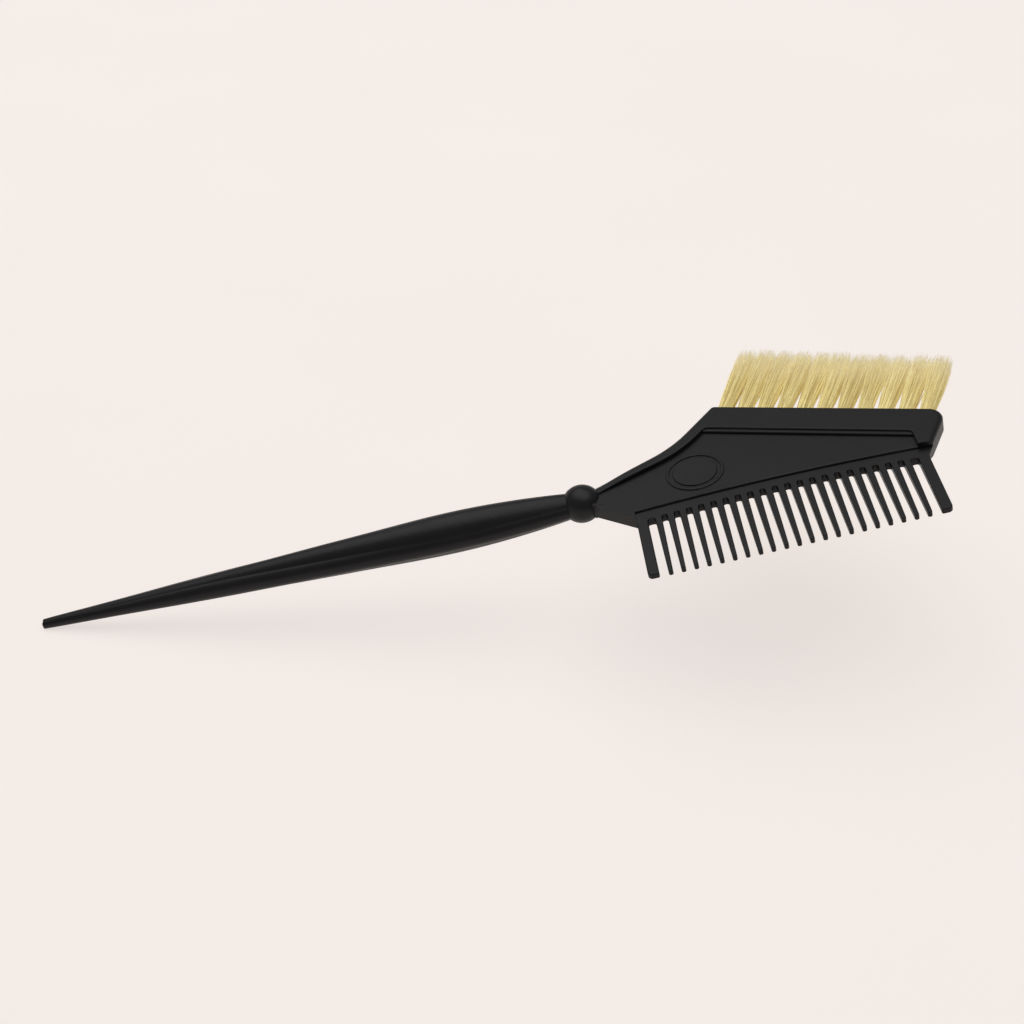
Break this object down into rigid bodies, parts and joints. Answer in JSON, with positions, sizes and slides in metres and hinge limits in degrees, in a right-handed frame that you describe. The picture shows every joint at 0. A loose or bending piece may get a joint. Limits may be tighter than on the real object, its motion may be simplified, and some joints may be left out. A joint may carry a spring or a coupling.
{
  "type": "hair tint brush",
  "caption": "Black hair tint brush: pointed tail handle, ball collar and slanted head with a row of straw-coloured bristle tufts and a sectioning comb.",
  "frame": {"origin": "under the middle of the brush's box, on the surface that it lies on face up", "axes": "+X along the handle from the pointed tail to the head, +Y towards the bristles, +Z out of the front face, upwards"},
  "size_m": [0.2319, 0.08, 0.01],
  "materials": {
    "black_plastic": "satin moulded black plastic",
    "bristle": "straw-coloured bristle, slight sheen",
    "anchor_wire": "drawn flat wire"
  },
  "bodies": {
    "root": {"tail_handle": "black_plastic", "ball_collar": "black_plastic", "head_plate": "black_plastic", "guard_tooth_inner": "black_plastic", "guard_tooth_outer": "black_plastic", "comb_tooth_01": "black_plastic", "comb_tooth_02": "black_plastic", "comb_tooth_03": "black_plastic", "comb_tooth_04": "black_plastic", "comb_tooth_05": "black_plastic", "comb_tooth_06": "black_plastic", "comb_tooth_07": "black_plastic", "comb_tooth_08": "black_plastic", "comb_tooth_09": "black_plastic", "comb_tooth_10": "black_plastic", "comb_tooth_11": "black_plastic", "comb_tooth_12": "black_plastic", "comb_tooth_13": "black_plastic", "comb_tooth_14": "black_plastic", "comb_tooth_15": "black_plastic", "comb_tooth_16": "black_plastic", "comb_tooth_17": "black_plastic", "comb_tooth_18": "black_plastic", "comb_tooth_19": "black_plastic", "comb_tooth_20": "black_plastic", "comb_tooth_21": "black_plastic", "tuft_01": "bristle", "tuft_02": "bristle", "tuft_03": "bristle", "tuft_04": "bristle", "tuft_05": "bristle", "tuft_06": "bristle", "tuft_07": "bristle", "tuft_08": "bristle", "tuft_09": "bristle", "tuft_10": "bristle", "tuft_11": "bristle", "tuft_anchors": "anchor_wire"}
  },
  "joints": []
}
